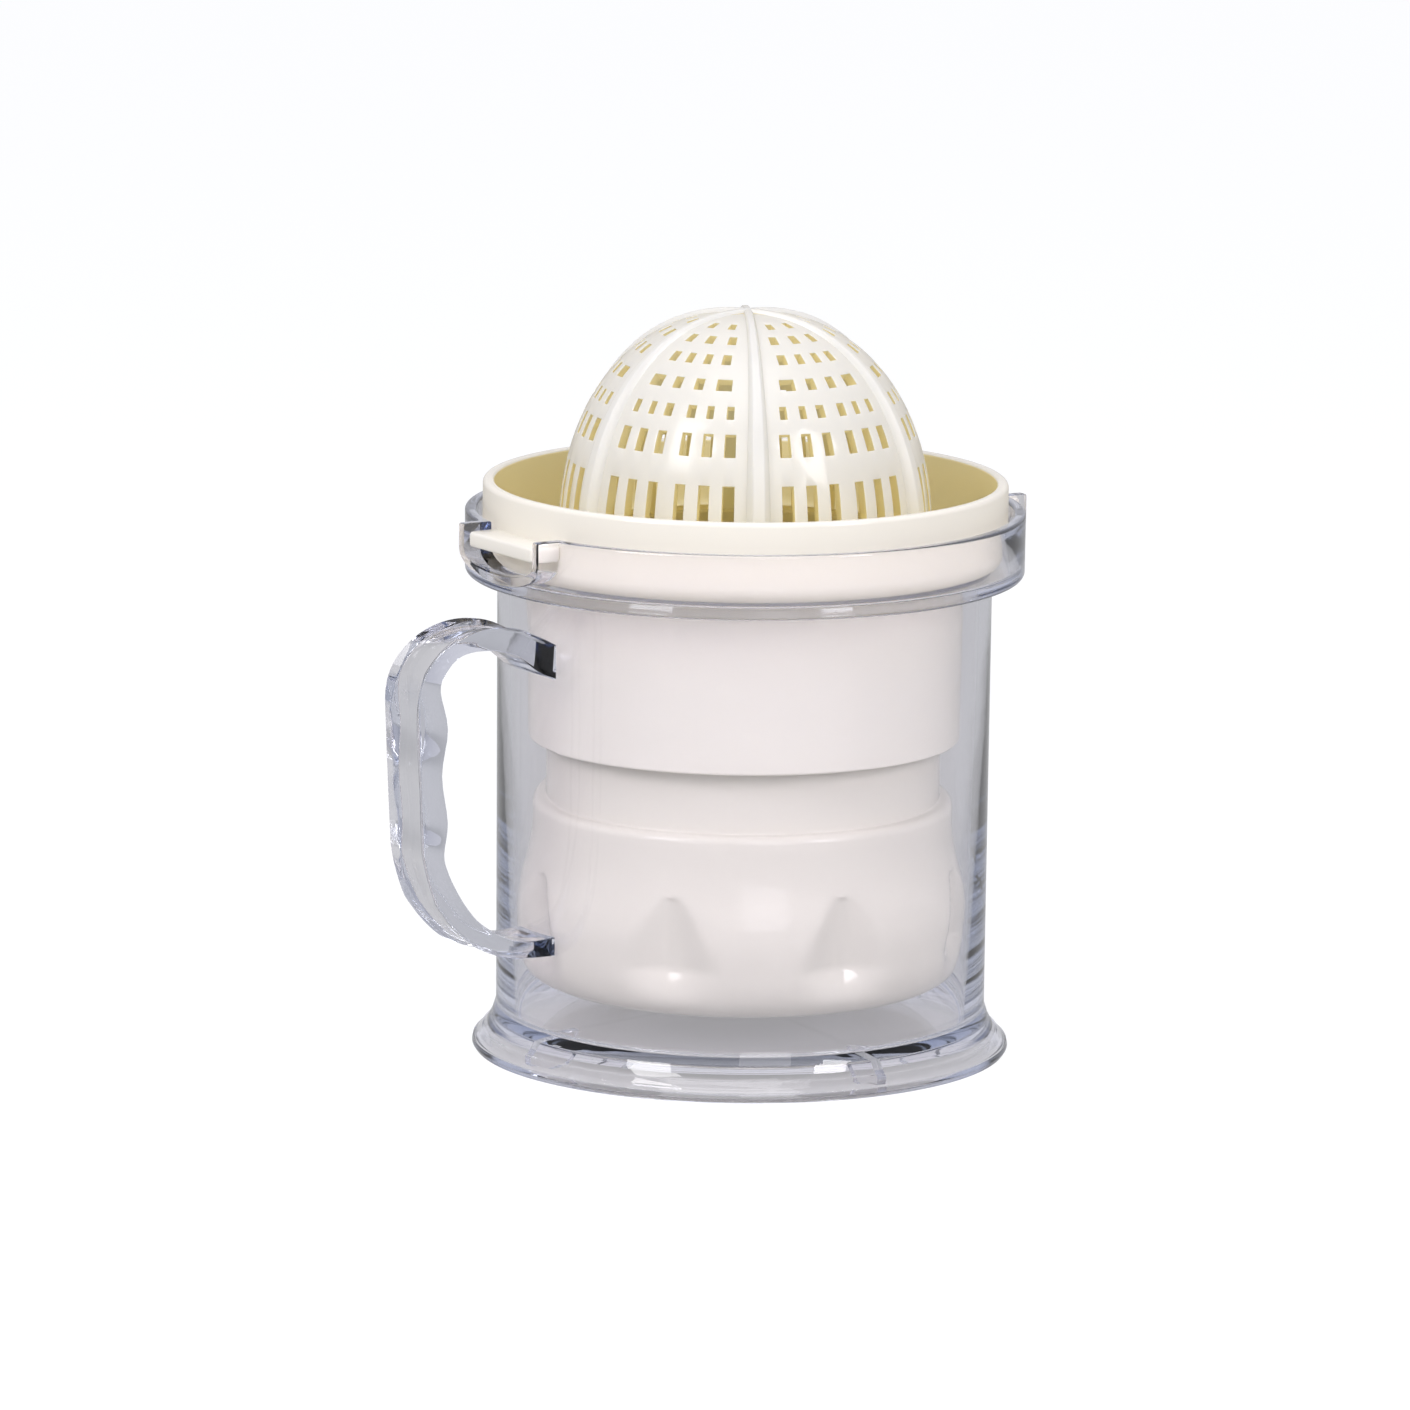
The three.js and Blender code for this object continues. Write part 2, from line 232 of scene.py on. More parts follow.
def makeMouldedSurface():  # slow flow waves and a fine satin grain, as moulded plastic has
    group = bpy.data.node_groups.new("mouldedSurface", "ShaderNodeTree")
    group.interface.new_socket("Vector", in_out="INPUT", socket_type="NodeSocketVector")
    for name, way in (("Base Roughness", "INPUT"), ("Spread", "INPUT"), ("Grain", "INPUT"),
                      ("Roughness", "OUTPUT"), ("Height", "OUTPUT")):
        group.interface.new_socket(name, in_out=way, socket_type="NodeSocketFloat")
    nodes, links = group.nodes, group.links
    inside = addNode(group, "NodeGroupInput", (-800, 0))
    outside = addNode(group, "NodeGroupOutput", (500, 0))
    flow = addNode(group, "ShaderNodeTexNoise", (-500, 200), Scale=flowScale, Detail=2, Roughness=0.45)
    grain = addNode(group, "ShaderNodeTexNoise", (-500, -200), Scale=grainScale, Detail=1, Roughness=0.5)
    centred = addNode(group, "ShaderNodeMath", (-250, 200))
    centred.operation = "SUBTRACT"
    centred.inputs[1].default_value = 0.5
    spread = addNode(group, "ShaderNodeMath", (-60, 200))
    spread.operation = "MULTIPLY_ADD"
    fine = addNode(group, "ShaderNodeMath", (-60, -200))
    fine.operation = "MULTIPLY_ADD"
    links.new(inside.outputs["Vector"], flow.inputs["Vector"])
    links.new(inside.outputs["Vector"], grain.inputs["Vector"])
    links.new(flow.outputs["Fac"], centred.inputs[0])
    links.new(centred.outputs[0], spread.inputs[0])
    links.new(inside.outputs["Spread"], spread.inputs[1])
    links.new(inside.outputs["Base Roughness"], spread.inputs[2])
    links.new(grain.outputs["Fac"], fine.inputs[0])
    links.new(inside.outputs["Grain"], fine.inputs[1])
    links.new(flow.outputs["Fac"], fine.inputs[2])
    links.new(spread.outputs[0], outside.inputs["Roughness"])
    links.new(fine.outputs[0], outside.inputs["Height"])
    return group


def mouldedMaterial(name, look):
    material = bpy.data.materials.new(name)
    material.use_nodes = True
    tree = material.node_tree
    shader = tree.nodes["Principled BSDF"]
    place = addNode(tree, "ShaderNodeTexCoord", (-900, 0))
    surface = addNode(tree, "ShaderNodeGroup", (-650, 0))
    surface.node_tree = surfaceGroup
    surface.inputs["Base Roughness"].default_value = look["roughness"]
    surface.inputs["Spread"].default_value = look["spread"]
    surface.inputs["Grain"].default_value = look["grain"]
    bump = addNode(tree, "ShaderNodeBump", (-350, -250), Strength=look["bump"],
                   Distance=look["depth"])
    tree.links.new(place.outputs["Object"], surface.inputs["Vector"])
    tree.links.new(surface.outputs["Roughness"], shader.inputs["Roughness"])
    tree.links.new(surface.outputs["Height"], bump.inputs["Height"])
    tree.links.new(bump.outputs["Normal"], shader.inputs["Normal"])
    shader.inputs["IOR"].default_value = look["ior"]
    return material, tree, shader, place


def tintedBase(tree, shader, place, look):  # base colour that drifts a little over the piece
    noise = addNode(tree, "ShaderNodeTexNoise", (-650, 300), Scale=look["patchScale"], Detail=2)
    mix = addNode(tree, "ShaderNodeMix", (-350, 300))
    mix.data_type = "RGBA"
    mix.inputs["A"].default_value = (*look["colour"], 1)
    mix.inputs["B"].default_value = (*look["drift"], 1)
    tree.links.new(place.outputs["Object"], noise.inputs["Vector"])
    tree.links.new(noise.outputs["Fac"], mix.inputs["Factor"])
    tree.links.new(mix.outputs["Result"], shader.inputs["Base Color"])


def letLightThrough(tree, shader, look):  # thin plastic walls glow a little from behind
    glow = addNode(tree, "ShaderNodeBsdfTranslucent", (100, -300))
    glow.inputs["Color"].default_value = (*look["glow"], 1)
    both = addNode(tree, "ShaderNodeMixShader", (350, 0), Fac=look["through"])
    tree.links.new(shader.outputs[0], both.inputs[1])
    tree.links.new(glow.outputs[0], both.inputs[2])
    tree.links.new(both.outputs[0], tree.nodes["Material Output"].inputs["Surface"])


def makeOpaque(name, look):
    material, tree, shader, place = mouldedMaterial(name, look)
    tintedBase(tree, shader, place, look)
    letLightThrough(tree, shader, look)
    return material


def makeClear(name, look):  # lamps shine straight through it, and long ways inside it turn navy
    material, tree, shader, place = mouldedMaterial(name, look)
    tintedBase(tree, shader, place, look)
    shader.inputs["Transmission Weight"].default_value = 1
    output = tree.nodes["Material Output"]
    absorption = addNode(tree, "ShaderNodeVolumeAbsorption", (0, -400), Density=look["density"])
    absorption.inputs["Color"].default_value = (*look["absorb"], 1)
    tree.links.new(absorption.outputs[0], output.inputs["Volume"])
    lampPath = addNode(tree, "ShaderNodeLightPath", (100, 500))
    lampThrough = addNode(tree, "ShaderNodeBsdfTransparent", (100, 150))
    lampThrough.inputs["Color"].default_value = (*look["lampTint"], 1)
    lampMix = addNode(tree, "ShaderNodeMixShader", (350, 200))
    tree.links.new(lampPath.outputs["Is Shadow Ray"], lampMix.inputs["Fac"])
    tree.links.new(shader.outputs[0], lampMix.inputs[1])
    tree.links.new(lampThrough.outputs[0], lampMix.inputs[2])
    tree.links.new(lampMix.outputs[0], output.inputs["Surface"])
    return material


clearLook = {
    "roughness": 0.02, "spread": 0.02, "grain": 0.0, "bump": 0.2, "depth": 0.25 * mm, "ior": 1.52,
    "patchScale": 9, "colour": (1.0, 0.985, 0.99), "drift": (0.985, 0.975, 0.985),
    "absorb": (0.60, 0.66, 0.80), "density": 30, "lampTint": (0.97, 0.945, 0.955),
}
ivoryLook = {  # the bowl's outside
    "roughness": 0.17, "spread": 0.08, "grain": 0.15, "bump": 0.12, "depth": 0.2 * mm, "ior": 1.5,
    "patchScale": 14, "colour": (0.95, 0.93, 0.89), "drift": (0.945, 0.92, 0.87),
    "glow": (0.98, 0.94, 0.80), "through": 0.22,
}
shellLook = {  # the dome's outside
    "roughness": 0.17, "spread": 0.08, "grain": 0.15, "bump": 0.12, "depth": 0.2 * mm, "ior": 1.5,
    "patchScale": 14, "colour": (0.925, 0.935, 0.965), "drift": (0.92, 0.93, 0.95),
    "glow": (0.96, 0.985, 1.0), "through": 0.38,
}
paintedBowlShadeLook = {  # the bowl's inside, painted shade: the same ivory plastic in a deeper ochre colour, with more glow from behind
    "roughness": 0.3, "spread": 0.1, "grain": 0.2, "bump": 0.12, "depth": 0.2 * mm, "ior": 1.5,
    "patchScale": 14, "colour": (0.94, 0.855, 0.55), "drift": (0.93, 0.835, 0.52),
    "glow": (0.99, 0.88, 0.48), "through": 0.4,
}
paintedDomeShadeLook = {  # the dome's inside and the walls of its slots, painted shade and glow: the same plastic in a golden colour, letting much more light through
    "roughness": 0.3, "spread": 0.1, "grain": 0.2, "bump": 0.12, "depth": 0.2 * mm, "ior": 1.5,
    "patchScale": 14, "colour": (1.0, 0.87, 0.48), "drift": (0.99, 0.85, 0.45),
    "glow": (1.0, 0.93, 0.62), "through": 0.8,
}
whiteLook = {
    "roughness": 0.06, "spread": 0.04, "grain": 0.12, "bump": 0.12, "depth": 0.2 * mm, "ior": 1.5,
    "patchScale": 14, "colour": (0.785, 0.76, 0.705), "drift": (0.775, 0.75, 0.69),
    "glow": (0.96, 0.90, 0.78), "through": 0.08,
}

surfaceGroup = makeMouldedSurface()
clearPlastic = makeClear("clearPlastic", clearLook)
ivoryPlastic = makeOpaque("ivoryPlastic", ivoryLook)
whitePlastic = makeOpaque("whitePlastic", whiteLook)
# the two golden copies of the ivory paint shade and glow on the insides of the bowl and the dome
paintedBowlShadeIvory = makeOpaque("paintedBowlShadeIvory", paintedBowlShadeLook)
shellIvory = makeOpaque("shellIvory", shellLook)
paintedDomeShadeIvory = makeOpaque("paintedDomeShadeIvory", paintedDomeShadeLook)
print("materials ready")


# clear mug with its handle, one moulding

mug = {
    "steps": 176, "outer": 57.4, "bore": 54.6, "draft": 0.4, "floorTop": 8.4, "floorUnder": 6.3,
    "ledge": 115, "collarOuter": 65, "collarBore": 62.2, "collarUnder": 112.3, "top": 127.3,
    "earRoot": 60, "earReach": 68, "earHalf": 17, "earWall": 2.5, "earBend": 121.5, "earBottom": 115.2,
    "earEdge": 0.5, "channelRoot": 60.2, "channelReach": 12, "channelRise": 2.3,
    "clearRadius": 63, "clearHeights": (110, 130),
    "webInner": 45, "webSlope": 3, "webOuter": 57.4, "webFoot": 0.8, "webTop": 6.8, "webWidth": 2.4,
    "foot": [(54.2, 6.3, 1.5), (56.6, 3.6, 2), (59.4, 0.25, 0.5), (60.2, 0, 0.25), (61.9, 0, 0.6),
             (62.6, 1.1, 0.5), (62.35, 2.3, 0.12), (61.9, 2.35, 0.12), (61.1, 3.3, 0.4), (60.25, 4.6, 0.2),
             (59.75, 4.7, 0.15), (59.0, 5.9, 0.6), (58.0, 7.8, 1.2)],
}


def mugProfile():
    m = mug
    low, lowBore = m["outer"] - m["draft"], m["bore"] - m["draft"]
    return rounded([(0, m["floorUnder"])] + m["foot"] + [
        (low, 11, 3), (m["outer"], m["collarUnder"], 0.9), (m["collarOuter"] - 0.1, m["collarUnder"], 1.3),
        (m["collarOuter"], m["top"], 0.7), (m["collarBore"] + 0.1, m["top"], 0.6),
        (m["collarBore"], m["ledge"], 0.7), (m["bore"], m["ledge"], 0.6), (lowBore, m["floorTop"], 2),
        (0, m["floorTop"]),
    ])


def earShape(x, half, bend, bottom, top):  # upright sides and a bowed bottom, across the mug
    curve = [(half * math.cos(a), bend + (bend - bottom) * math.sin(a))
             for a in [math.pi * (1 + i / 18) for i in range(19)]]
    return [(x, y * mm, z * mm) for y, z in [(-half, top)] + curve + [(half, top)]]


def makeEar(side):
    m = mug
    near, far = axisX + side * m["earRoot"] * mm, side * (m["earReach"] - m["earRoot"]) * mm
    ear = plate("ear", earShape(near, m["earHalf"], m["earBend"], m["earBottom"], m["top"]), (far, 0, 0))
    roundEdges(ear, m["earEdge"], 2, 50)
    low, high = m["clearHeights"]
    corners = [(0, low), (m["clearRadius"], low), (m["clearRadius"], high), (0, high)]
    clearance = turnProfile("clearance", corners, 96)
    combine(ear, clearance, "DIFFERENCE")
    return ear


def earChannel(side):
    m = mug
    near, far = axisX + side * m["channelRoot"] * mm, side * m["channelReach"] * mm
    half, bottom = m["earHalf"] - m["earWall"], m["earBottom"] + m["channelRise"]
    return plate("channel", earShape(near, half, m["earBend"], bottom, m["top"] + 4), (far, 0, 0))


def makeWebs(piece):
    m = mug
    corners = [(m["webInner"], m["webTop"]), (m["webInner"] + m["webSlope"], m["webFoot"]),
               (m["webOuter"], m["webFoot"]), (m["webOuter"], m["webTop"])]
    ring(piece, radialPlate("web", corners, m["webWidth"]), 4, 0)


handle = {
    "width": 15, "edge": 1.3, "groove": 3, "grooveDepth": 1.1, "grooveSlope": 0.5,
    # distance from the mug's axis and height
    "outside": [(55.8, 100.9), (58.5, 102.4), (62, 104.1), (65.6, 105.7), (70, 106.7), (75, 107),
                (80, 106.2), (85, 104.2), (89.3, 100.9), (92.2, 97), (93.6, 92), (93.4, 84), (92.9, 73),
                (92.3, 62), (91.6, 54), (88.8, 45.1), (86, 40.8), (82.3, 36.6), (77.5, 32.8), (70.1, 29.8),
                (63.6, 29), (55.8, 28.75)],
    "inside": [(55.8, 33.2), (63.6, 32.9), (70.1, 34.6), (76.5, 38.4), (80.4, 42.6), (83.4, 47.2),
               (85.6, 51.6), (86.6, 55.6), (85.7, 63), (87.3, 74), (85.8, 84.6), (87.8, 93.4), (86.6, 97.2),
               (83.6, 100.4), (80, 101.7), (75, 101.8), (70.5, 100.9), (66.3, 99.2), (61.5, 95.6),
               (58.2, 93.9), (55.8, 93.2)],
}


def makeHandle():
    h = handle
    half = h["width"] / 2 * mm
    outside, inside = smoothLine(h["outside"], 4), smoothLine(h["inside"], 4)
    outline = [(axisX - r * mm, -half, z * mm) for r, z in outside + inside]
    piece = plate("handle", outline, (0, h["width"] * mm, 0))
    roundEdges(piece, h["edge"], 4, 60)

    def onOutside(face):  # the long strip down the outside
        spots = [piece.data.vertices[v].co for v in face.vertices]
        return abs(face.normal.y) < 0.05 and abs(face.center.y) < half / 2 and all(
            min(math.hypot((axisX - p.x) / mm - r, p.z / mm - z) for r, z in outside) < 0.02 for p in spots)

    rim = half - h["groove"] * mm
    floor = rim - h["grooveSlope"] * mm
    for cut in (floor, rim):
        for side in (1, -1):
            pickFaces(piece, onOutside)
            bpy.ops.mesh.bisect(plane_co=(0, side * cut, 0), plane_no=(0, 1, 0))
            leaveEdit()
    pickFaces(piece, lambda face: onOutside(face) and abs(face.center.y) < floor)
    bpy.ops.transform.shrink_fatten(value=-h["grooveDepth"] * mm)
    leaveEdit()
    return piece


def makeMug():
    piece = turnProfile("clearMug", mugProfile(), mug["steps"])
    for side in (1, -1):
        combine(piece, makeEar(side))
        combine(piece, earChannel(side), "DIFFERENCE")
    makeWebs(piece)
    combine(piece, makeHandle())
    activate(piece)
    editAll()
    weld()
    return piece


clearMug = makeMug()
finishPiece(clearMug, clearPlastic, "mug", ["mug_body", "mug_handle"], 30)


# strainer bowl

bowl = {
    "steps": 160, "rimOuter": 60.9, "rimInner": 58.2, "rimTop": 134.1, "gutter": 117.7, "throat": 38,
    "lipOuter": 40.6, "lipTop": 120.2, "skirtOuter": 50.6, "skirtInner": 48.3, "skirtBottom": 74,
    "under": 115.3, "tabReach": 67.6, "tabHalf": 14.1, "tabUnder": 122.2, "tabTop": 125.6, "tabEdge": 0.7,
    "crushCount": 6, "crushTurn": 30, "crushRadius": 46.7, "crushWidth": 1.6, "crushBottom": 76,
    "crushTop": 95, "crushRoot": 0.8,  # how deep the ribs reach into the skirt
}


def bowlProfile():
    b = bowl
    return rounded([
        (b["throat"], b["under"], 0.4), (b["skirtInner"], b["under"], 2),
        (b["skirtInner"], b["skirtBottom"], 0.5), (b["skirtOuter"], b["skirtBottom"], 0.7),
        (b["skirtOuter"] + 0.2, b["under"], 0.5), (b["rimOuter"], b["under"], 3.8),
        (b["rimOuter"], b["rimTop"], 1.1), (b["rimInner"], b["rimTop"], 0.9), (b["rimInner"], b["gutter"], 3),
        (b["lipOuter"], b["gutter"], 1), (b["lipOuter"], b["lipTop"], 0.5), (b["throat"], b["lipTop"], 0.5),
    ], True)


def makeTab(side):
    b = bowl
    inner, outer, half = b["rimInner"] + 1, b["tabReach"], b["tabHalf"]
    shape = rounded([(inner, -half), (outer, -half, 2), (outer, half, 2), (inner, half)], True)
    points = [(axisX + side * x * mm, y * mm, b["tabUnder"] * mm) for x, y in shape]
    tab = plate("tab", points, (0, 0, (b["tabTop"] - b["tabUnder"]) * mm))
    roundEdges(tab, b["tabEdge"], 3, 60)
    return tab


def makeBowl():
    b = bowl
    piece = turnProfile("strainerBowl", bowlProfile(), b["steps"], True)
    for side in (1, -1):
        combine(piece, makeTab(side))
    root = b["skirtInner"] + b["crushRoot"]
    corners = [(b["crushRadius"] + 0.6, b["crushBottom"]), (root, b["crushBottom"] - 0.6),
               (root, b["crushTop"] + 3), (b["crushRadius"], b["crushTop"]),
               (b["crushRadius"], b["crushBottom"] + 0.8)]
    ring(piece, radialPlate("crush", corners, b["crushWidth"]), b["crushCount"], b["crushTurn"])
    return piece


strainerBowl = makeBowl()


def bowlPaintedShadeFaces(face):  # gutter, inner wall of the rim and the throat, the faces that get the painted shade
    x, y, z = face.center.x - axisX, face.center.y, face.center.z / mm
    inward = face.normal.x * x + face.normal.y * y < 0.3 * math.hypot(x, y)
    within = math.hypot(x, y) / mm < bowl["rimInner"] + 0.2
    return inward and within and bowl["under"] + 0.7 < z < bowl["rimTop"] - 0.4


finishPiece(strainerBowl, ivoryPlastic, "strainer_bowl", ["strainer_bowl"],
            inside=bowlPaintedShadeFaces, paintedShadeMaterial=paintedBowlShadeIvory)


# reamer dome

dome = {
    "radius": 43.3, "base": 118, "straight": 122, "rise": 51.2, "squareness": (2.1, 2.3), "wall": 2.2,
    "panels": 6, "slotBevel": 0.12, "ribWidth": 5.8, "ribCrest": 3, "ribRise": 2.3, "ribSink": 1.1,
    "ribEdge": 26.2,  # degrees from mid-panel to where a rib starts
    "ribParts": 26, "ribTop": 173.2, "ribTip": 0.38, "taperFrom": 125, "taperOver": 48,
    # from, to, then each slot's [start, end] in degrees from mid-panel, mirrored
    "rows": [
        (120.8, 139.2, [(3.05, 6.5), (10.9, 14.5), (18.6, 22.5)]),
        (145.5, 150.5, [(3.05, 6.5), (10.9, 14.5), (18.6, 22.5)]),
        (153.7, 156.4, [(3.05, 6.5), (10.9, 13.6), (18.6, 21.4)]),
        (159.6, 161.9, [(3.05, 7.2), (12.9, 19.7)]),
        (164.8, 166.7, [(3.05, 7.2), (12.9, 17.7)]),
        (168.6, 170, [(-3.05, 3.05), (12.9, 18.6)]),
        (171.2, 172, [(7.2, 14.5)]),
    ],
    "between": [118, 119.4, 124, 128, 132, 136, 142.3, 148, 152.1, 155, 158, 160.7, 163.3, 165.7, 167.6,
                169.3, 170.6, 171.6, 172.4, 172.8, 173.05, 173.2],
}


def domeRadius(z):
    d = dome
    t = min(max((z - d["straight"]) / d["rise"], 0), 1)
    return d["radius"] * max(1 - t ** d["squareness"][0], 0) ** (1 / d["squareness"][1])


def inSlot(angle, z):  # angle from mid-panel
    return any(low < z < high and any(a < abs(angle) < b or (a < 0 and abs(angle) < b) for a, b in slots)
               for low, high, slots in dome["rows"])


def domeShell():
    d = dome
    heights = sorted({z for low, high, _ in d["rows"] for z in (low, high)} | set(d["between"]))
    offsets = {abs(a) for _, _, slots in d["rows"] for pair in slots for a in pair} | {0, d["ribEdge"]}
    panel = 360 // d["panels"]
    angles = sorted({panel // 2 + side * a for a in offsets for side in (1, -1)} | {0, panel})
    points = [(axisX + domeRadius(z) * mm, 0, z * mm) for z in heights]
    piece = drawLine("reamerDome", points)
    bpy.ops.mesh.select_all(action="SELECT")
    for before, after in zip(angles, angles[1:]):
        bpy.ops.mesh.spin(steps=1, angle=math.radians(after - before), center=axis, axis=(0, 0, 1))
    bpy.ops.mesh.select_all(action="SELECT")
    bpy.ops.mesh.spin(steps=d["panels"] - 1, dupli=True, angle=math.radians(360 - panel), center=axis,
                      axis=(0, 0, 1))
    weld()

    def slotted(face):
        turn = math.degrees(math.atan2(face.center.y, face.center.x - axisX)) % panel - panel // 2
        return inSlot(turn, face.center.z / mm)

    pickFaces(piece, slotted)
    bpy.ops.mesh.delete(type="FACE")
    leaveEdit()
    useModifier(piece, "SOLIDIFY", thickness=d["wall"] * mm, offset=-1, use_even_offset=True)
    roundEdges(piece, d["slotBevel"], 2, 55)
    return piece


def drawCurve(name, points, closed=False, sizes=None):  # straight pieces between points given in mm
    line = bpy.data.curves.new(name, "CURVE")
    line.dimensions = "3D"
    spline = line.splines.new("POLY")
    spline.points.add(len(points) - 1)
    spline.use_cyclic_u = closed
    for i, point in enumerate(points):
        spline.points[i].co = (*[c * mm for c in point], 1)
        spline.points[i].radius = sizes[i] if sizes else 1
    piece = bpy.data.objects.new(name, line)
    bpy.context.collection.objects.link(piece)
    return piece


def makeRib(turn):  # a ridge swept from one foot over the crown to the other
    d = dome
    rise, parts = 55.2, d["ribParts"]  # points crowd towards the crown
    heights = [d["base"]] + [d["base"] + rise * (1 - (1 - i / parts) ** 2.2) for i in range(1, parts)]
    half = [(domeRadius(z), z) for z in heights]
    path = half + [(0, d["ribTop"])] + [(-r, z) for r, z in reversed(half)]
    along = [min(max((z - d["taperFrom"]) / d["taperOver"], 0), 1) for r, z in path]
    sizes = [1 - (1 - d["ribTip"]) * t ** 1.6 for t in along]
    foot, crest = d["ribWidth"] / 2, d["ribCrest"] / 2
    shape = rounded([(-foot, -d["ribSink"]), (foot, -d["ribSink"]), (foot, 0.1), (crest, d["ribRise"], 0.7),
                     (-crest, d["ribRise"], 0.7), (-foot, 0.1)], True)
    section = drawCurve("ribSection", [(x, y, 0) for x, y in shape], True)
    rib = drawCurve("rib", [(r, 0, z) for r, z in path], sizes=sizes)
    rib.data.bevel_mode = "OBJECT"
    rib.data.bevel_object = section
    rib.data.use_fill_caps = True
    activate(rib)
    bpy.ops.object.convert(target="MESH")
    rib = bpy.context.object
    bpy.data.objects.remove(section, do_unlink=True)
    editAll()
    bpy.ops.transform.translate(value=axis)
    weld()
    twin = copyTurned(rib, turn)
    bpy.data.objects.remove(rib, do_unlink=True)
    return twin


def makeDome():
    piece = domeShell()
    for i in range(dome["panels"] // 2):
        combine(piece, makeRib(math.radians(360 / dome["panels"] * i)))
    return piece


reamerDome = makeDome()


def domePaintedShadeFaces(face):  # the inner wall and the walls of the slots, the faces that get the painted golden shade and glow
    x, y, z = face.center.x - axisX, face.center.y, face.center.z / mm
    out = Vector((x, y, max(z - dome["straight"], 0) * mm * 0.8)).normalized()
    return face.normal.dot(out) < 0.35 and math.hypot(x, y) / mm < domeRadius(z) - 0.25


finishPiece(reamerDome, shellIvory, "reamer_dome", ["reamer_dome"], 35,
            inside=domePaintedShadeFaces, paintedShadeMaterial=paintedDomeShadeIvory)


# press cap

cap = {
    "steps": 240, "neckOuter": 46.3, "neckInner": 44.3, "neckTop": 98, "shoulder": 59.1,
    "shoulderOuter": 49.4, "shoulderInner": 47.2, "sideTop": 54, "belly": 53.3, "floor": 19.2,
    # radius and height of the side from its foot up, outside and inside, and of the bottom from the middle
    "outside": [(43.3, 15.8), (47.6, 16.8), (51, 19.6), (52.75, 24.2), (53.3, 30), (53.3, 35), (52.4, 40),
                (50.8, 45), (49.75, 50), (49.4, 54)],
    "inside": [(42, 19.2), (46.2, 20.4), (49, 23), (50.6, 27), (51.1, 31), (51, 36), (50.2, 40), (48.6, 45),
               (47.5, 50), (47.2, 54)],
    "bottom": [(0, 17), (33, 17), (34.4, 16.6), (35.4, 15.9), (36.2, 15.8)],
    "hollows": 8, "turn": 38, "hollowTop": 45, "hollowFoot": 28, "hollowHalf": 14,
    "hollowFloor": (50.2, 49.4),  # radius of a hollow's floor at its top and its foot
    "finCount": 8, "finInner": 12, "finOuter": 38, "finRoot": 18, "finHeight": 11, "finWidth": 2,
}
capSide = smoothLine(cap["outside"], 6)


def capProfile():
    c = cap
    inner = smoothLine(c["inside"], 5)
    top = rounded([(c["shoulderOuter"], c["sideTop"]), (c["shoulderOuter"], c["shoulder"], 1.9),
                   (c["neckOuter"], c["shoulder"] + 0.3, 0.5), (c["neckOuter"], c["neckTop"], 0.6),
                   (c["neckInner"], c["neckTop"], 0.5), (c["neckInner"], c["shoulder"] - 0.4, 1),
                   (c["shoulderInner"], c["shoulder"] - 2.6, 1.4), (c["shoulderInner"], c["sideTop"])])
    return c["bottom"] + capSide + top[1:-1] + list(reversed(inner)) + [(0, c["floor"])]


def hollowDepth(angle, z):  # how far a finger hollow takes the side in
    c = cap
    pitch = 360 / c["hollows"]
    off = abs((angle - c["turn"] + pitch / 2) % pitch - pitch / 2)
    t = (c["hollowTop"] - z) / (c["hollowTop"] - c["hollowFoot"])
    if t <= 0:
        return 0
    half = c["hollowHalf"] * min(t, 1) ** 0.5
    across = max(1 - (off / half) ** 2, 0) ** 2
    fade = max(1 - max(t - 1, 0) * 1.9, 0) ** 1.5
    floor = c["hollowFloor"][0] + (c["hollowFloor"][1] - c["hollowFloor"][0]) * min(t, 1)
    outer = c["belly"]
    for (ra, za), (rb, zb) in zip(capSide, capSide[1:]):
        if za <= z <= zb:
            outer = ra + (rb - ra) * (z - za) / (zb - za)
    return max(outer - floor, 0) * across * fade


def makeCap():
    c = cap
    piece = turnProfile("pressCap", capProfile(), c["steps"])
    for v in piece.data.vertices:
        x, y, z = v.co.x - axisX, v.co.y, v.co.z / mm
        radius = math.hypot(x, y) / mm
        if radius > 43.5 and c["floor"] - 0.2 < z < c["hollowTop"]:
            depth = hollowDepth(math.degrees(math.atan2(y, x)), z)
            v.co.x, v.co.y = axisX + x * (1 - depth / radius), y * (1 - depth / radius)
    low, high = c["finRoot"], c["finRoot"] + c["finHeight"]
    corners = [(c["finInner"], low), (c["finInner"] + 1, high), (c["finOuter"] - 2, high),
               (c["finOuter"], low)]
    ring(piece, radialPlate("fin", corners, c["finWidth"]), c["finCount"], 0)
    return piece


pressCap = makeCap()
finishPiece(pressCap, whitePlastic, "press_cap", ["press_cap"])


# studio

studio = {
    "floorSize": 12, "floorColour": (0.985, 0.99, 1), "lampColour": (1, 0.985, 0.985),
    # the floor's glow and shade as the camera sees them, and as the plastic does
    "seenWhite": 0.9, "seenShade": 0.16, "hiddenGlow": 0.34, "hiddenShade": 0.25,
    "worldBack": (0.74, 0.74, 0.78), "worldSide": (0.52, 0.525, 0.58), "worldFront": (0.33, 0.335, 0.38),
    "lampTarget": 0.085,
    # name, direction from the object in degrees (0 is the camera's side, + to its right), height angle,
    # distance, size, power
    "lights": [
        ("keyPanel", -46, 36, 1.1, (0.36, 0.5), 4.6),
        ("rightPanel", 46, 27, 1.1, (0.26, 0.44), 3.4),
        ("frontPanel", 12, 20, 1.5, (0.6, 0.8), 3.2),
        ("topPanel", -10, 74, 1.2, (0.9, 0.9), 4.6),
    ],
    "lens": 268.1, "sensor": 36, "toCamera": (-0.559, -0.829), "cameraAway": 2.3988, "cameraHeight": 0.5378,
    "aimAside": 0.0089, "aimHeight": 0.0807, "roll": 0.61,
}
viewTurn = math.radians(-124)  # the camera's direction from the mug's axis


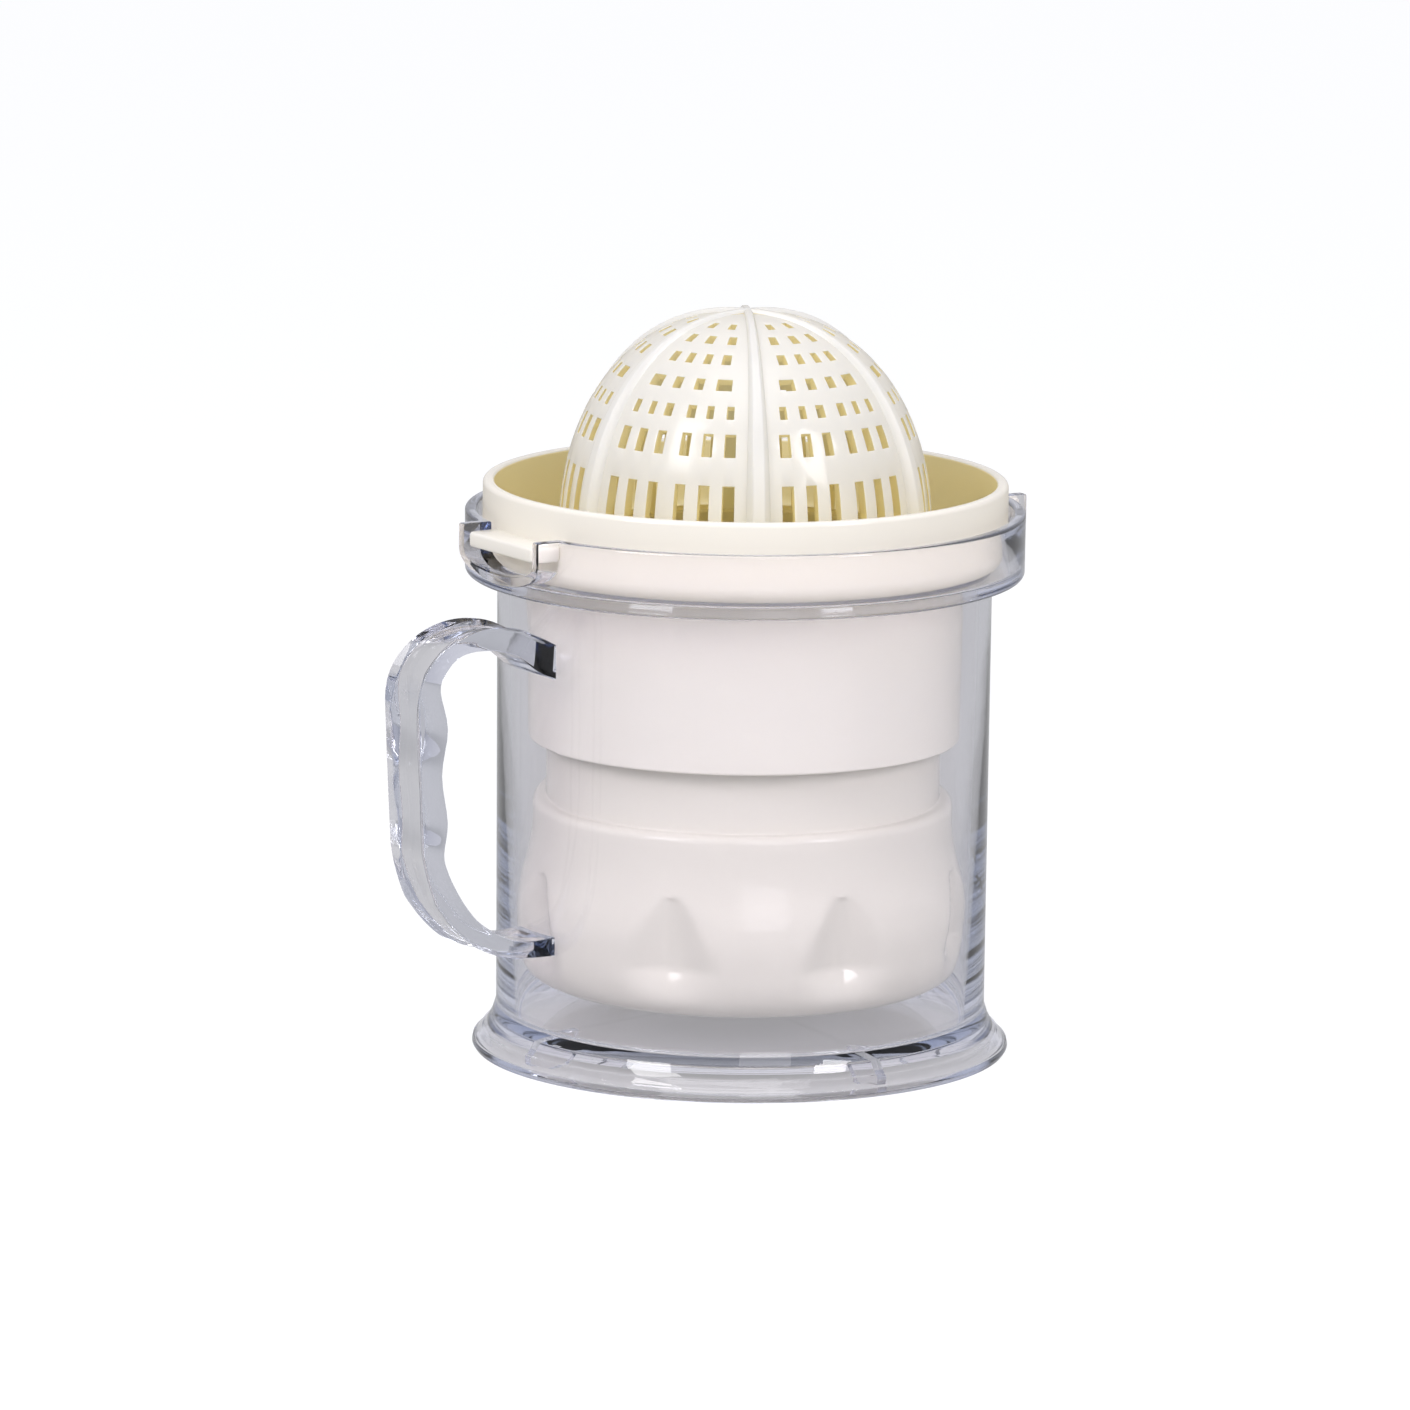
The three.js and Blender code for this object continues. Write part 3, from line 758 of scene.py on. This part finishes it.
def makeFloor():
    start()
    bpy.ops.mesh.primitive_plane_add(size=studio["floorSize"], location=(0, 0, 0))
    floor = bpy.context.object
    floor.name = "studioFloor"
    material = bpy.data.materials.new("paleFloor")
    material.use_nodes = True
    tree = material.node_tree
    tree.nodes.remove(tree.nodes["Principled BSDF"])
    path = addNode(tree, "ShaderNodeLightPath", (-600, 300))
    sides = []
    for glow, shade, y in ((studio["hiddenGlow"], studio["hiddenShade"], 0),
                           (studio["seenWhite"], studio["seenShade"], -300)):
        light = addNode(tree, "ShaderNodeEmission", (-400, y), Strength=glow)
        light.inputs["Color"].default_value = (*studio["floorColour"], 1)
        paper = addNode(tree, "ShaderNodeBsdfDiffuse", (-400, y - 120))
        paper.inputs["Color"].default_value = (shade, shade, shade, 1)
        both = addNode(tree, "ShaderNodeAddShader", (-150, y))
        tree.links.new(light.outputs[0], both.inputs[0])
        tree.links.new(paper.outputs[0], both.inputs[1])
        sides.append(both)
    pick = addNode(tree, "ShaderNodeMixShader", (100, 0))
    tree.links.new(path.outputs["Is Camera Ray"], pick.inputs["Fac"])
    tree.links.new(sides[0].outputs[0], pick.inputs[1])
    tree.links.new(sides[1].outputs[0], pick.inputs[2])
    tree.links.new(pick.outputs[0], tree.nodes["Material Output"].inputs["Surface"])
    floor.data.materials.append(material)


def makeWorld():
    world = bpy.data.worlds.new("softRoom")
    bpy.context.scene.world = world
    world.use_nodes = True
    tree = world.node_tree
    back = tree.nodes["Background"]
    place = addNode(tree, "ShaderNodeTexCoord", (-900, 0))
    facing = addNode(tree, "ShaderNodeVectorMath", (-700, 0))
    facing.operation = "DOT_PRODUCT"
    facing.inputs[1].default_value = (-math.cos(viewTurn), -math.sin(viewTurn), 0)
    ramp = addNode(tree, "ShaderNodeValToRGB", (-400, 0))
    shift = addNode(tree, "ShaderNodeMapRange", (-550, 0))
    shift.inputs["From Min"].default_value = -1
    stops = ramp.color_ramp.elements
    stops[0].color = (*studio["worldFront"], 1)
    stops[1].color = (*studio["worldBack"], 1)
    middle = stops.new(0.5)
    middle.color = (*studio["worldSide"], 1)
    path = addNode(tree, "ShaderNodeLightPath", (-400, 300))
    pick = addNode(tree, "ShaderNodeMix", (-150, 0))
    pick.data_type = "RGBA"
    pick.inputs["B"].default_value = (1, 1, 1, 1)
    tree.links.new(place.outputs["Generated"], facing.inputs[0])
    tree.links.new(facing.outputs["Value"], shift.inputs["Value"])
    tree.links.new(shift.outputs["Result"], ramp.inputs["Fac"])
    tree.links.new(ramp.outputs["Color"], pick.inputs["A"])
    tree.links.new(path.outputs["Is Camera Ray"], pick.inputs["Factor"])
    tree.links.new(pick.outputs["Result"], back.inputs["Color"])


def makeLights():
    target = Vector((axisX, 0, studio["lampTarget"]))
    for name, turn, lift, distance, size, power in studio["lights"]:
        angle, up = viewTurn + math.radians(turn), math.radians(lift)
        away = Vector((math.cos(angle) * math.cos(up), math.sin(angle) * math.cos(up), math.sin(up)))
        lamp = bpy.data.lights.new(name, "AREA")
        lamp.shape = "RECTANGLE"
        lamp.size, lamp.size_y = size
        lamp.energy = power
        lamp.color = studio["lampColour"]
        body = bpy.data.objects.new(name, lamp)
        bpy.context.collection.objects.link(body)
        body.location = target + away * distance
        body.rotation_euler = (-away).to_track_quat("-Z", "Y").to_euler()


def makeCamera():
    data = bpy.data.cameras.new("studioCamera")
    data.lens, data.sensor_width = studio["lens"], studio["sensor"]
    camera = bpy.data.objects.new("studioCamera", data)
    bpy.context.collection.objects.link(camera)
    east, north = studio["toCamera"]
    away, aside = studio["cameraAway"], studio["aimAside"]
    camera.location = (axisX + east * away, north * away, studio["cameraHeight"])
    aim = Vector((axisX + aside * north, -aside * east, studio["aimHeight"]))
    turn = (aim - camera.location).to_track_quat("-Z", "Y").to_matrix().to_4x4()
    turn = turn @ Matrix.Rotation(math.radians(studio["roll"]), 4, "Z")
    camera.rotation_euler = turn.to_euler()
    bpy.context.scene.camera = camera


makeFloor()
makeWorld()
makeLights()
makeCamera()
bpy.context.scene.view_settings.view_transform = "Standard"
bounces = bpy.context.scene.cycles  # light turns many times inside the clear walls
bounces.max_bounces = bounces.transmission_bounces = 24
bounces.glossy_bounces = 16
print("studio ready")
